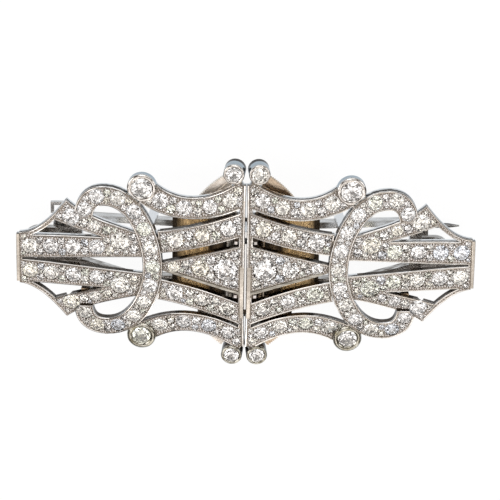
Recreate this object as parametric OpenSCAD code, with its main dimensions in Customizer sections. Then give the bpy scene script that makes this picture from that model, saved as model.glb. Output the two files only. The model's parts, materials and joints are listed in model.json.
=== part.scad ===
// A double-clip brooch. Two mirror-image clips of pierced platinum, set with round stones, slide on to
// the rails of one brooch frame, which carries the pin.
// X runs along the brooch, Y towards its top edge and Z out of its front. It lies on its back on Z = 0.
// A clip is drawn flat: u runs outward from the centre line, v up and w out of the front.

/* [Clip] */
// How far each clip leans back towards its outer end, in degrees
clip_tilt = 5.5; // [5.3:0.1:5.7]
// Radius of the front, which is curved from top to bottom
bow_r = 56; // [54:1:60]
// Thickness of the pierced plate
plate_t = 0.75; // [0.7:0.05:0.85]
// Height of the loop above the bands that it crosses
loop_rise = 0.45; // [0.3:0.05:0.5]
// Height of a bezel's rim above the plate
bezel_rise = 0.25; // [0.2:0.05:0.4]

/* [Stones] */
// Clearance between a stone and its seat
stone_gap = 0.05; // [0.04:0.01:0.06]
// Depth of a stone's girdle below the front of the plate
girdle_drop = 0.06; // [0.04:0.01:0.1]

/* [Lever] */
// Reach of a lever's wing from its hinge
wing_reach = 4.4; // [4.2:0.1:4.6]
// Half the width across both wings
wing_half = 12.5; // [12.3:0.1:12.6]
// Thickness of the wings
wing_t = 0.6; // [0.5:0.05:0.65]

/* [Frame] */
// Width of a rail
rail_w = 0.9; // [0.85:0.05:0.95]
// Thickness of a rail
rail_t = 1.1; // [1:0.05:1.15]
// Height of the pin's axis above the surface that the brooch lies on
pin_z = 0.95; // [0.93:0.01:1]

/* [Pin] */
// Radius of the pin wire
pin_r = 0.4; // [0.35:0.01:0.42]
// Length of the pin from its hinge to its point
pin_l = 53.6; // [53:0.1:54]

/* [Hidden] */

$fn = 48;
curve_sides = 360;
RIGHT = 1;
LEFT = -1;
platinum = [0.80, 0.80, 0.80];
gold = [0.72, 0.60, 0.42];
diamond = [0.86, 0.90, 0.93];
eps = 0.05;

// Bands of the upper half, as a cubic curve from the outer end inward: four points, then the width
// at the start, the middle and the end. The lower half is the mirror image.
P = 0;
W = 1;
outer_band = [[[13.4, 10.3], [9.6, 7.75], [5.2, 7.7], [0, 11.2]], [3.3, 2.9, 3.3]];
middle_band = [[[11.6, 3.5], [8.2, 4.0], [4.4, 5.1], [0, 6.95]], [3.1, 3.1, 3.1]];
petal = [[[24.9, 7.3], [22.0, 5.55], [18.0, 4.7], [13.2, 3.0]], [3.3, 2.25, 2.6]];
ray = [[[30.2, 1.8], [25.5, 1.95], [20.0, 2.35], [13.2, 2.45]], [3.3, 3.1, 2.4]];
outer_rim = [[[30.3, 3.4], [28.2, 3.6], [26.2, 5.2], [23.9, 8.4]], [0.65, 0.65, 0.65]];
BANDS = [outer_band, middle_band, petal, ray, outer_rim];
loop_root = [[[12.35, -0.2], [12.35, 4.0], [14.6, 9.7], [18.8, 9.7]], [2.6, 2.6, 2.6]];
loop_head = [[[18.7, 9.7], [20.7, 9.75], [21.6, 8.6], [21.7, 6.6]], [2.6, 2.6, 2.5]];
LOOP = [loop_root, loop_head];
loop_t = 1;
// The long triangle, the strip beside the centre line and the bar at the outer end
triangle_tip = [11.2, 0.6];
triangle_foot = [0.5, 3.7];
strip_u = [0.2, 0.95];
strip_half = 12;
end_bar_u = [29.9, 30.7];
end_bar_half = 3.5;
// Furthest that the plate reaches outward and upward
plate_reach = [32, 14];
// Stops behind the strip: where each is along v
STOPS = [10.6, 4.9, -6.9, -10.6];
stop_inset = 0.1;
stop_w = 0.7;
stop_t = 0.6;

// Stones along a band: u and radius
outer_stones = [[11.5, 1.0], [8.3, 1.0], [4.9, 1.0], [2.3, 1.0]];
middle_stones = [[9.4, 1.15], [5.8, 1.0], [2.4, 1.1]];
petal_middle = [[20.2, 0.75]];
ray_stones = [[28.9, 1.05], [26.1, 1.05], [23.1, 1.05], [19.9, 1.0]];
// Stones along the loop: distance from the start of the curve, and radius
loop_root_stones = [[3.0, 0.95], [5.75, 0.95], [8.5, 0.95], [11.25, 0.95]];
loop_head_stones = [[1.3, 0.95], [3.8, 0.9]];
// Stones by place: u, v and radius
petal_stones = [[23.4, 6.3, 1.15], [16.8, 3.25, 1.25]];
triangle_stones = [[2.65, 0, 1.6], [6.05, 0, 1.15], [9.6, 0, 0.8]];
loop_front_stone = [12.35, 0, 0.95];
// Bezels by place: u, v, outer radius, stone radius and depth from rim to foot
U = 0;
V = 1;
RADIUS = 2;
STONE = 3;
DEPTH = 4;
BEZELS = [[1.85, 13.46, 1.42, 1.1, 2.1], [14.0, 10.95, 1.95, 1.52, 0.95]];
// How far a bezel leans from upright, less than the front that it stands on
bezel_lean = 3;
girdle_t = 0.08;
table_part = 0.56;
crown_part = 0.3;
pavilion_part = 0.7;
pave_sides = 10;
main_sides = 16;
// How far a seat's hole runs on below the plate
hole_spare = 0.3;

// The lever's hinge, in the clip's own axes
hinge_u = 2.2;
hinge_w = -2.75;
barrel_r = 0.65;
lever_pin_r = 0.35;
lever_pin_gap = 0.03;
wing_inner = 6.2;
wing_shoulder = 9.5;
wing_corner = 1.4;
wing_bezel_gap = 0.35;
wing_bulge = 0.15;
tooth_count = 14;
tooth_depth = 0.2;
ear_inner = 8.35;
ear_t = 0.75;
ear_gap = 0.12;
barrel_half = ear_inner - ear_gap;
wing_groove_pitch = 0.8;
wing_groove_w = 0.35;
wing_groove_depth = 0.15;
wing_grooves = 5;

// The frame, in the clip's own axes down to the bridges
rail_top = -3.6;
frame_shift = 0.5;
rail_outer = 4.65;
rail_inner = rail_outer - rail_w;
rail_end = 24;
bridge_u = 22.4;
// Gusset between the lower rail and the bridge, and the tail beyond the bridge, as u and v
GUSSET = [[15.5, -3.4], [22.5, -1.5], [22.5, -3.4]];
TAIL = [[23.9, -3.3], [23.9, -1.3], [28.6, -1.9], [28.6, -2.7]];
centre_plate_u = 10.2;
centre_plate_half = 5.9;
centre_plate_t = 0.6;
// Height of the centre plate's front above the rails'
centre_plate_proud = 0.05;
// Where the ribs across the centre plate start and end
centre_ribs_u = [1, 6];
centre_rib_margin = 0.4;
centre_rib_pitch = 0.8;
centre_rib_w = 0.4;
centre_rib_depth = 0.15;
// Guides on the back of a clip: where each starts along u
GUIDES = [12.3, 21];
guide_top = -0.5;
guide_l = 1.1;
guide_gap = 0.12;
guide_t = 0.7;
hook_reach = 0.4;
hook_t = 0.5;

// The pin's hinge, catch and the tabs that the brooch lies on, in the brooch's own axes
tab_t = 0.8;
tab_wall_t = 0.9;
tab_wall_inset = 0.1;
// Each tab by its outer end, the middle of its width and half its width
TAB_RIGHT = [27.3, -0.35, 1.8];
TAB_LEFT = [29.9, 0, 2];
pin_hinge_x = -25;
pin_y = 3.35;
eye_r = 0.85;
eye_half = 0.4;
eye_gap = 0.06;
rivet_r = 0.38;
rivet_gap = 0.03;
lug_r = 0.93;
lug_t = 0.4;
lug_back = 0.2;
lug_reach = 1.9;
catch_u = [23, 24.4];
catch_overlap = 1.2;
catch_gap = 0.1;
catch_t = 0.45;
catch_foot = 0.1;
// The pin has a square root up to root_l from its hinge, then a round wire, which tapers from taper_l on
root_l = 4.5;
root_half = 0.34;
taper_l = 45.5;
tip_r = 0.33;
point_l = 1.5;
point_r = 0.1;
guard_loop = [2.1, 1.65];
guard_start = 1.25;
guard_wire = 0.46;
guard_drop = 0.6;

// Height of the front at the centre line: the rails' outer ends stay clear above the pin
rail_foot = rail_top - rail_t;
pin_room = 0.6;
front_z = pin_z + pin_r + pin_room + rail_end * sin(clip_tilt) - rail_foot * cos(clip_tilt);
// How far up the lugs and the catch run into the frame's ends
holder_top = pin_z + pin_r + pin_room + 0.3;

// Curves
function at(c, t) = pow(1 - t, 3) * c[0] + 3 * t * pow(1 - t, 2) * c[1]
    + 3 * t * t * (1 - t) * c[2] + pow(t, 3) * c[3];
function along(c, t) = 3 * pow(1 - t, 2) * (c[1] - c[0]) + 6 * t * (1 - t) * (c[2] - c[1])
    + 3 * t * t * (c[3] - c[2]);
function side_of(d) = [-d[1], d[0]] / norm(d);
function width_at(w, t) = w[0] * (1 - t) * (1 - 2 * t) + 4 * w[1] * t * (1 - t) + w[2] * t * (2 * t - 1);
function edge(b, t, s) = at(b[P], t) + s * width_at(b[W], t) / 2 * side_of(along(b[P], t));
// Length of a curve up to t, in n short steps
function total(list) = list * [for (i = list) 1];
function run(c, t, n = 16) = total([for (i = [1:n]) norm(at(c, i * t / n) - at(c, (i - 1) * t / n))]);
// The t of a place on a curve, by halving: on a band where u falls to it, on the loop after a distance
function t_at_u(c, u, lo = 0, hi = 1, k = 12) = let (mid = (lo + hi) / 2)
    k == 0 ? mid : at(c, mid)[0] > u ? t_at_u(c, u, mid, hi, k - 1) : t_at_u(c, u, lo, mid, k - 1);
function t_after(c, d, lo = 0, hi = 1, k = 12) = let (mid = (lo + hi) / 2)
    k == 0 ? mid : run(c, mid) < d ? t_after(c, d, mid, hi, k - 1) : t_after(c, d, lo, mid, k - 1);
// Stones of a row as u, v and radius
function band_seats(b, row) = [for (s = row) let (p = at(b[P], t_at_u(b[P], s[0]))) [p[0], p[1], s[1]]];
function loop_seats(b, row) = [for (s = row) let (p = at(b[P], t_after(b[P], s[0]))) [p[0], p[1], s[1]]];
function mirrored(list) = [for (s = list) for (k = [1, -1]) [s[0], k * s[1], s[2]]];

BAND_STONES = mirrored(concat(band_seats(outer_band, outer_stones), band_seats(middle_band, middle_stones),
    band_seats(petal, petal_middle), band_seats(ray, ray_stones)));
LOOP_STONES = concat([loop_front_stone],
    mirrored(concat(loop_seats(loop_root, loop_root_stones), loop_seats(loop_head, loop_head_stones))));
PETAL_STONES = mirrored(petal_stones);

// Puts what is drawn in a clip's axes where that clip is
module on_clip(side) {
    mirror([side < 0 ? 1 : 0, 0, 0]) translate([0, 0, front_z]) rotate([0, clip_tilt, 0]) children();
}

// Height of the curved front at v
function front_w(v) = sqrt(bow_r * bow_r - v * v) - bow_r;

// Puts what is drawn upright on the curved front at u, v
module on_front(u, v, lift = 0) {
    translate([u, v, front_w(v)]) rotate([-asin(v / bow_r), 0, 0]) translate([0, 0, lift]) children();
}

// Puts what is drawn from the middle of a bezel's rim into the upper or the lower one of a pair
module in_bezel(b, k, lift = 0) {
    translate([b[U], k * b[V], front_w(b[V])]) rotate([-k * bezel_lean, 0, 0])
        translate([0, 0, bezel_rise + lift]) children();
}

module both_halves() {
    children();
    mirror([0, 1, 0]) children();
}

module band_outline(b, n = 16) {
    polygon(concat([for (i = [0:n]) edge(b, i / n, 1)], [for (i = [n:-1:0]) edge(b, i / n, -1)]));
}

// What an outline covers of the curved layer between two heights over the front
module curved_slab(top, bottom) {
    intersection() {
        translate([0, 0, -plate_reach[1] / 2]) linear_extrude(plate_reach[1]) children();
        translate([0, 0, -bow_r]) rotate([0, 90, 0]) difference() {
            cylinder(h = plate_reach[0], r = bow_r + top, $fn = curve_sides);
            translate([0, 0, -1]) cylinder(h = plate_reach[0] + 2, r = bow_r + bottom, $fn = curve_sides);
        }
    }
}

// The bands end at the centre strip, clear of the other clip
module plate_outline() {
    intersection() {
        both_halves() for (b = BANDS) band_outline(b);
        translate([strip_u[0], -plate_reach[1]]) square([plate_reach[0], 2 * plate_reach[1]]);
    }
    polygon([triangle_tip, triangle_foot,
        [triangle_foot[U], -triangle_foot[V]], [triangle_tip[U], -triangle_tip[V]]]);
    translate([strip_u[0], -strip_half]) square([strip_u[1] - strip_u[0], 2 * strip_half]);
    translate([end_bar_u[0], -end_bar_half]) square([end_bar_u[1] - end_bar_u[0], 2 * end_bar_half]);
}

module plate() {
    curved_slab(0, -plate_t) plate_outline();
    curved_slab(loop_rise, loop_rise - loop_t) both_halves() for (b = LOOP) band_outline(b);
}

module bezels() {
    for (b = BEZELS) for (k = [1, -1]) in_bezel(b, k, -b[DEPTH]) cylinder(h = b[DEPTH], r = b[RADIUS]);
}

// Round holes right through the plate, one for each stone
module seat_holes() {
    for (s = concat(BAND_STONES, LOOP_STONES, PETAL_STONES, triangle_stones))
        on_front(s[U], s[V], -plate_t - hole_spare) cylinder(h = plate_t + 2, r = s[RADIUS] + stone_gap);
    for (b = BEZELS) for (k = [1, -1]) in_bezel(b, k, -b[DEPTH] - hole_spare)
        cylinder(h = b[DEPTH] + 2, r = b[STONE] + stone_gap);
}

// Ears that hold the lever's hinge pin, from halfway up the plate
module lever_ears() {
    ear_top = front_w(ear_inner + ear_t) - plate_t / 2;
    both_halves() difference() {
        union() {
            translate([hinge_u - barrel_r, ear_inner, hinge_w])
                cube([2 * barrel_r, ear_t, ear_top - hinge_w]);
            translate([hinge_u, ear_inner, hinge_w]) rotate([-90, 0, 0]) cylinder(h = ear_t, r = barrel_r);
        }
        translate([hinge_u, ear_inner - 1, hinge_w]) rotate([-90, 0, 0])
            cylinder(h = ear_t + 2, r = lever_pin_r + lever_pin_gap);
    }
}

// Hooks that run down outside each rail and turn in under it
module guides() {
    foot = rail_foot - guide_gap - hook_t;
    for (u = GUIDES) for (k = [1, -1]) {
        inner = frame_shift * k + rail_outer + guide_gap;
        translate([u, k > 0 ? inner : -inner - guide_t, foot]) cube([guide_l, guide_t, guide_top - foot]);
        translate([u, k > 0 ? inner - guide_gap - hook_reach : -inner - guide_t, foot])
            cube([guide_l, guide_t + guide_gap + hook_reach, hook_t]);
    }
}

// Small stops behind the strip, which face those of the other clip
module stops() {
    for (v = STOPS) translate([strip_u[0] + stop_inset, v - stop_w / 2, front_w(v) - plate_t - stop_t])
        cube([strip_u[1] - strip_u[0] - stop_inset, stop_w, stop_t + plate_t / 2]);
}

module clip(side) {
    color(platinum) on_clip(side) difference() {
        union() {
            plate();
            bezels();
            lever_ears();
            guides();
            stops();
        }
        seat_holes();
    }
}

function ring(r, sides, height, turn = 0) = [for (i = [0:sides - 1])
    let (a = (i + turn) * 360 / sides) [r * cos(a), r * sin(a), height]];

// A round cut stone: a flat table, triangular crown facets and a pointed pavilion, girdle top at w = 0
module cut_stone(r, sides) {
    table = ring(r * table_part, sides, r * crown_part);
    girdle = ring(r, sides, 0, 0.5);
    belt = ring(r, sides, -girdle_t, 0.5);
    next = [for (i = [0:sides - 1]) (i + 1) % sides];
    n = sides;
    polyhedron(points = concat(table, girdle, belt, [[0, 0, -girdle_t - r * pavilion_part]]), faces = concat(
        [[for (i = [n - 1:-1:0]) i]],
        [for (i = [0:n - 1]) [i, next[i], n + i]],
        [for (i = [0:n - 1]) [next[i], n + next[i], n + i]],
        [for (i = [0:n - 1]) [n + i, n + next[i], 2 * n + next[i], 2 * n + i]],
        [for (i = [0:n - 1]) [2 * n + i, 2 * n + next[i], 3 * n]]));
}

module set_stone(side, s, sides, lift = 0) {
    color(diamond) on_clip(side) on_front(s[U], s[V], lift - girdle_drop) cut_stone(s[RADIUS], sides);
}

module pave(side) {
    for (s = BAND_STONES) set_stone(side, s, pave_sides);
    for (s = LOOP_STONES) set_stone(side, s, pave_sides, loop_rise);
}

// Bezel stones are numbered inner top, inner bottom, outer top, outer bottom
module bezel_stone(side, i) {
    b = BEZELS[floor((i - 1) / 2)];
    half = i % 2 == 1 ? 1 : -1;
    color(diamond) on_clip(side) in_bezel(b, half, -girdle_drop) cut_stone(b[STONE], main_sides);
}

module triangle_stone(side, i) {
    set_stone(side, triangle_stones[i - 1], main_sides);
}

// Petal stones are numbered tip top, tip bottom, root top, root bottom
module petal_stone(side, i) {
    set_stone(side, PETAL_STONES[i - 1], main_sides);
}

module lever_pin(side) {
    half = ear_inner + ear_t;
    color(gold) on_clip(side) translate([hinge_u, -half, hinge_w]) rotate([-90, 0, 0])
        cylinder(h = 2 * half, r = lever_pin_r);
}

// A wing's slanting outer edge, which swells a little and is cut into fine teeth
wing_foot = [hinge_u + wing_reach, wing_shoulder];
wing_head = [hinge_u + wing_corner, wing_half];
wing_slant = (wing_head - wing_foot) / norm(wing_head - wing_foot);
wing_out = [wing_slant[1], -wing_slant[0]];
function wing_edge(t, depth) = wing_foot + t * (wing_head - wing_foot)
    + (4 * wing_bulge * t * (1 - t) - depth) * wing_out;
wing_teeth = [for (i = [1:2 * tooth_count - 1])
    wing_edge(i / (2 * tooth_count), i % 2 == 0 ? 0 : tooth_depth)];

// A wing stays clear of the bezel in front of it
module wing_outline() {
    difference() {
        polygon(concat([[hinge_u, wing_inner], [wing_foot[U], wing_inner], wing_foot],
            wing_teeth, [wing_head, [hinge_u, wing_half]]));
        translate([BEZELS[0][U], BEZELS[0][V]]) circle(r = BEZELS[0][RADIUS] + wing_bezel_gap);
    }
}

// Grooves along the slant, on the front of a wing
module wing_groove_cuts() {
    start = wing_foot - wing_half * wing_slant;
    turn = atan2(wing_slant[V], wing_slant[U]);
    for (i = [1:wing_grooves]) translate([start[U], start[V], hinge_w + wing_t / 2 - wing_groove_depth])
        rotate([0, 0, turn]) translate([0, i * wing_groove_pitch, 0])
            cube([2 * wing_half, wing_groove_w, wing_t]);
}

module lever(side) {
    color(gold) on_clip(side) difference() {
        union() {
            translate([hinge_u, -barrel_half, hinge_w]) rotate([-90, 0, 0])
                cylinder(h = 2 * barrel_half, r = barrel_r);
            both_halves() translate([0, 0, hinge_w - wing_t / 2]) linear_extrude(wing_t) wing_outline();
        }
        translate([hinge_u, -barrel_half - 1, hinge_w]) rotate([-90, 0, 0])
            cylinder(h = 2 * barrel_half + 2, r = lever_pin_r + lever_pin_gap);
        both_halves() translate([hinge_u - barrel_r, barrel_half, hinge_w - barrel_r])
            cube([2 * barrel_r + ear_gap, ear_t + 2 * ear_gap, 2 * barrel_r]);
        both_halves() wing_groove_cuts();
    }
}

// One tilted half of the frame: both rails, the bridge across their ends with its gusset and tail, and
// half of the centre plate
module frame_half() {
    translate([0, frame_shift, 0]) {
        for (v = [rail_inner, -rail_outer]) translate([0, v, rail_foot]) cube([rail_end, rail_w, rail_t]);
        translate([bridge_u, -rail_outer, rail_foot]) cube([rail_end - bridge_u, 2 * rail_outer, rail_t]);
    }
    translate([0, 0, rail_foot]) linear_extrude(rail_t) {
        polygon(GUSSET);
        polygon(TAIL);
    }
    plate_top = rail_top + centre_plate_proud;
    rib_half = centre_plate_half - centre_rib_margin;
    difference() {
        translate([0, -centre_plate_half, plate_top - centre_plate_t])
            cube([centre_plate_u, 2 * centre_plate_half, centre_plate_t]);
        for (u = [centre_ribs_u[0]:centre_rib_pitch:centre_ribs_u[1]])
            translate([u, -rib_half, plate_top - centre_rib_depth])
                cube([centre_rib_pitch - centre_rib_w, 2 * rib_half, centre_plate_t]);
    }
}

// A rounded tab on the surface, and the wall that carries it from the bridge
module end_tab(tab) {
    end_x = tab[0];
    middle = tab[1];
    half = tab[2];
    wall_x = bridge_u * cos(clip_tilt) + rail_foot * sin(clip_tilt) + tab_wall_inset;
    wall_top = front_z - bridge_u * sin(clip_tilt) + rail_foot * cos(clip_tilt) + rail_t / 3;
    translate([wall_x, middle - half, 0]) cube([end_x - half - wall_x, 2 * half, tab_t]);
    translate([end_x - half, middle, 0]) cylinder(h = tab_t, r = half);
    translate([wall_x, middle - half, 0]) cube([tab_wall_t, 2 * half, wall_top]);
}

module lug(y) {
    difference() {
        union() {
            translate([pin_hinge_x, y, pin_z]) rotate([-90, 0, 0]) cylinder(h = lug_t, r = lug_r);
            translate([pin_hinge_x - lug_back, y, pin_z]) cube([lug_reach, lug_t, holder_top - pin_z]);
        }
        translate([pin_hinge_x, y - lug_t, pin_z]) rotate([-90, 0, 0])
            cylinder(h = 3 * lug_t, r = rivet_r + rivet_gap);
    }
}

// A channel over the pin's wire, open to the back and fixed under the bridge
module catch() {
    inner = pin_r + catch_gap;
    roof = pin_z + inner;
    start = rail_end - catch_overlap;
    difference() {
        translate([start, pin_y - inner - catch_t, catch_foot])
            cube([catch_u[1] - start, 2 * (inner + catch_t), holder_top - catch_foot]);
        translate([start - 1, pin_y - inner, -1]) cube([catch_u[1], 2 * inner, roof + 1]);
        translate([start - 1, pin_y - inner - 2 * catch_t, -1])
            cube([catch_u[0] - start + 1, 2 * inner + 4 * catch_t, roof + 1]);
    }
}

// The flat loop beside the pin's hinge that holds a safety chain
module guard() {
    outer = pin_y + eye_half + eye_gap + lug_t - eps;
    translate([pin_hinge_x - guard_start, outer, pin_z - guard_drop]) difference() {
        cube([guard_loop[0], guard_loop[1], guard_wire]);
        translate([guard_wire, 0, -1]) cube([guard_loop[0] - 2 * guard_wire, guard_loop[1] - guard_wire, 2]);
    }
}

module brooch_frame() {
    color(platinum) {
        on_clip(RIGHT) frame_half();
        on_clip(LEFT) frame_half();
        end_tab(TAB_RIGHT);
        mirror([1, 0, 0]) end_tab(TAB_LEFT);
        lug(pin_y - eye_half - eye_gap - lug_t);
        lug(pin_y + eye_half + eye_gap);
        catch();
        guard();
    }
}

module pin_rivet() {
    half = eye_half + eye_gap + lug_t;
    color(gold) translate([pin_hinge_x, pin_y - half, pin_z]) rotate([-90, 0, 0])
        cylinder(h = 2 * half, r = rivet_r);
}

module pin_stem() {
    color(platinum) translate([pin_hinge_x, pin_y, pin_z]) difference() {
        union() {
            translate([0, -eye_half, 0]) rotate([-90, 0, 0]) cylinder(h = 2 * eye_half, r = eye_r);
            translate([0, -root_half, -root_half]) cube([root_l, 2 * root_half, 2 * root_half]);
            translate([root_l, 0, 0]) rotate([0, 90, 0]) cylinder(h = taper_l - root_l, r = pin_r);
            translate([taper_l, 0, 0]) rotate([0, 90, 0])
                cylinder(h = pin_l - point_l - taper_l, r1 = pin_r, r2 = tip_r);
            translate([pin_l - point_l, 0, 0]) rotate([0, 90, 0])
                cylinder(h = point_l, r1 = tip_r, r2 = point_r);
        }
        translate([0, -2 * eye_half, 0]) rotate([-90, 0, 0])
            cylinder(h = 4 * eye_half, r = rivet_r + rivet_gap);
    }
}

brooch_frame();
pin_rivet();
pin_stem();
clip(RIGHT);  // right_clip
pave(RIGHT);  // right_pave
lever_pin(RIGHT);  // right_lever_pin
lever(RIGHT);  // right_lever
bezel_stone(RIGHT, 1);  // right_bezel_stone_1
bezel_stone(RIGHT, 2);  // right_bezel_stone_2
bezel_stone(RIGHT, 3);  // right_bezel_stone_3
bezel_stone(RIGHT, 4);  // right_bezel_stone_4
triangle_stone(RIGHT, 1);  // right_triangle_stone_1
triangle_stone(RIGHT, 2);  // right_triangle_stone_2
triangle_stone(RIGHT, 3);  // right_triangle_stone_3
petal_stone(RIGHT, 1);  // right_petal_stone_1
petal_stone(RIGHT, 2);  // right_petal_stone_2
petal_stone(RIGHT, 3);  // right_petal_stone_3
petal_stone(RIGHT, 4);  // right_petal_stone_4
clip(LEFT);  // left_clip
pave(LEFT);  // left_pave
lever_pin(LEFT);  // left_lever_pin
lever(LEFT);  // left_lever
bezel_stone(LEFT, 1);  // left_bezel_stone_1
bezel_stone(LEFT, 2);  // left_bezel_stone_2
bezel_stone(LEFT, 3);  // left_bezel_stone_3
bezel_stone(LEFT, 4);  // left_bezel_stone_4
triangle_stone(LEFT, 1);  // left_triangle_stone_1
triangle_stone(LEFT, 2);  // left_triangle_stone_2
triangle_stone(LEFT, 3);  // left_triangle_stone_3
petal_stone(LEFT, 1);  // left_petal_stone_1
petal_stone(LEFT, 2);  // left_petal_stone_2
petal_stone(LEFT, 3);  // left_petal_stone_3
petal_stone(LEFT, 4);  // left_petal_stone_4
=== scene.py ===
"""Looks of the double-clip brooch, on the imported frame: finishes, stones, grains, rims, camera and light."""
import math
import random

import bmesh
import bpy
import numpy as np
from mathutils import Matrix, Vector
from mathutils.bvhtree import BVHTree
from mathutils.kdtree import KDTree
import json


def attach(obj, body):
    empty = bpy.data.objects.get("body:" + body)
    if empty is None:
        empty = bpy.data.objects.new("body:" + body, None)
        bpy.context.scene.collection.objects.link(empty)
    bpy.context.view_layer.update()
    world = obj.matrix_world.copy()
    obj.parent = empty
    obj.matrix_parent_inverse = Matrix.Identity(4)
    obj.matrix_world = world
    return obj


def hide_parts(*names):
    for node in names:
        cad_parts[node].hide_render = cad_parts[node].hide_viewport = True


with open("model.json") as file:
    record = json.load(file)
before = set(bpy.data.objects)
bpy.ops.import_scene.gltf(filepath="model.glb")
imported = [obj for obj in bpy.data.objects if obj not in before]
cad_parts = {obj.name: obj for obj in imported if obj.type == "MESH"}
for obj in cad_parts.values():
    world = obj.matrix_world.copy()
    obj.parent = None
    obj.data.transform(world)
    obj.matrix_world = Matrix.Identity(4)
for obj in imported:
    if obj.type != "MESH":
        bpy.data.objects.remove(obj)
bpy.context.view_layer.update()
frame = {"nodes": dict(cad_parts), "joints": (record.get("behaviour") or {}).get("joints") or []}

MM = 0.001

# The clips: name, side along X, seed of the random draws
CLIPS = [("right", 1, 11), ("left", -1, 23)]

# Sizes that part.scad also has, in millimetres in a clip's own axes: u outward, v up and w out of the front
HINGE_U = 2.2
HINGE_W = -2.75
BOW_R = 56.0
LOOP_RISE = 0.45
GIRDLE_T = 0.08
PAVILION_PART = 0.7
SEAT_GAP = 0.05
STRIP_U = 0.2
STRIP_HALF = 12
END_BAR_U = (30.28, 30.7)
END_BAR_HALF = 3.5
CENTRE_PLATE_U = 10.2
BEZEL_RISE = 0.25
BEZEL_LEAN = math.radians(3)
# Bezels, one above and one below for each row: u, v, radius, radius of the stone
BEZELS = [(1.85, 13.46, 1.42, 1.1), (14.0, 10.95, 1.95, 1.52)]

# Tilt of the clips and height of their front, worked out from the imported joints
joints = {joint["name"]: joint for joint in frame["joints"]}
slide_axis = Vector(joints["right_clip_slide"]["axis"])
CLIP_TILT = math.atan2(-slide_axis.z, slide_axis.x)
hinge_z = joints["right_lever_hinge"]["pos_m"][2] / MM
FRONT_Z = hinge_z + HINGE_U * math.sin(CLIP_TILT) - HINGE_W * math.cos(CLIP_TILT)


def clip_matrix(side):
    """From a clip's own axes, in millimetres, to the brooch's frame, in metres."""
    turn = Matrix.Rotation(CLIP_TILT, 4, "Y")
    place = Matrix.Translation((0, 0, FRONT_Z)) @ turn
    flip = Matrix.Diagonal((side, 1, 1, 1))
    return Matrix.Scale(MM, 4) @ flip @ place


def front_w(v):
    """Height of the curved front at v."""
    return math.sqrt(BOW_R ** 2 - v ** 2) - BOW_R


def on_front(u, v, lift=0.0):
    return Vector((u, v, front_w(v) + lift))


def front_normal(v):
    return Vector((0, v, math.sqrt(BOW_R ** 2 - v ** 2))).normalized()


def bezel_normal(v):
    return Vector((0, math.copysign(math.sin(BEZEL_LEAN), v), math.cos(BEZEL_LEAN)))


def new_object(name, mesh):
    obj = bpy.data.objects.new(name, mesh)
    bpy.context.scene.collection.objects.link(obj)
    return obj


# Camera at the photograph's angle: pixels of a 500 pixel square, and metres
PHOTO = 500
PX_PER_MM = 7.54
CENTRE_PX = (245.33, 271.45)
CAMERA_TILT = math.radians(26.9)
CAMERA_ROLL = math.radians(0.98)
CAMERA_DISTANCE = 0.45
SENSOR = 36.0


def make_camera():
    data = bpy.data.cameras.new("camera")
    data.sensor_width = SENSOR
    data.lens = SENSOR * CAMERA_DISTANCE / MM * PX_PER_MM / PHOTO
    data.clip_start = 0.01
    data.clip_end = 10
    camera = new_object("camera", data)
    back = Vector((0, math.sin(CAMERA_TILT), math.cos(CAMERA_TILT)))
    level_right = Vector((1, 0, 0))
    level_up = back.cross(level_right)
    right = level_right * math.cos(CAMERA_ROLL) + level_up * math.sin(CAMERA_ROLL)
    up = back.cross(right)
    offset = (right * (PHOTO / 2 - CENTRE_PX[0]) + up * (CENTRE_PX[1] - PHOTO / 2)) * MM / PX_PER_MM
    place = Vector((0, 0, FRONT_Z * MM)) + offset + back * CAMERA_DISTANCE
    camera.matrix_world = Matrix((
        (right.x, up.x, back.x, place.x),
        (right.y, up.y, back.y, place.y),
        (right.z, up.z, back.z, place.z),
        (0, 0, 0, 1)))
    bpy.context.scene.camera = camera


# Node trees
class Nodes:
    """A short way to build the node tree of a material or of the world."""

    def __init__(self, tree):
        self.tree = tree
        tree.nodes.clear()

    def add(self, kind, **inputs):
        return self.set(self.tree.nodes.new(kind), **inputs)

    def set(self, node, **inputs):
        """Sets or links inputs by their names, with _ for a space."""
        for name, value in inputs.items():
            socket = node.inputs[name.replace("_", " ")]
            if isinstance(value, bpy.types.NodeSocket):
                self.tree.links.new(value, socket)
            else:
                socket.default_value = value
        return node

    def coords(self, stretch=(1, 1, 1)):
        source = self.add("ShaderNodeTexCoord")
        mapping = self.add("ShaderNodeMapping", Vector=source.outputs["Object"], Scale=stretch)
        return mapping.outputs["Vector"]

    def noise(self, scale, coords, detail=3.0):
        node = self.add("ShaderNodeTexNoise", Scale=scale, Detail=detail, Roughness=0.6, Vector=coords)
        return node.outputs["Fac"]

    def ramp(self, fac, stops):
        node = self.add("ShaderNodeValToRGB", Fac=fac)
        elements = node.color_ramp.elements
        while len(elements) < len(stops):
            elements.new(0.5)
        for element, (place, colour) in zip(elements, stops):
            element.position = place
            element.color = (*colour, 1)
        return node.outputs["Color"]

    def range(self, value, low, high, start=0.3, end=0.7):
        """Value between start and end, mapped to between low and high."""
        node = self.add("ShaderNodeMapRange", Value=value)
        self.set(node, From_Min=start, From_Max=end, To_Min=low, To_Max=high)
        return node.outputs["Result"]

    def absolute(self, value):
        node = self.add("ShaderNodeMath")
        node.operation = "ABSOLUTE"
        self.tree.links.new(value, node.inputs[0])
        return node.outputs["Value"]

    def multiply_add(self, value, factor, other):
        node = self.add("ShaderNodeMath")
        node.operation = "MULTIPLY_ADD"
        self.tree.links.new(value, node.inputs[0])
        node.inputs[1].default_value = factor
        self.tree.links.new(other, node.inputs[2])
        return node.outputs["Value"]

    def bump(self, height, strength, distance):
        node = self.add("ShaderNodeBump", Strength=strength, Distance=distance, Height=height)
        return node.outputs["Normal"]

    def show(self, output, kind="ShaderNodeOutputMaterial"):
        self.add(kind, Surface=output)


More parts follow.
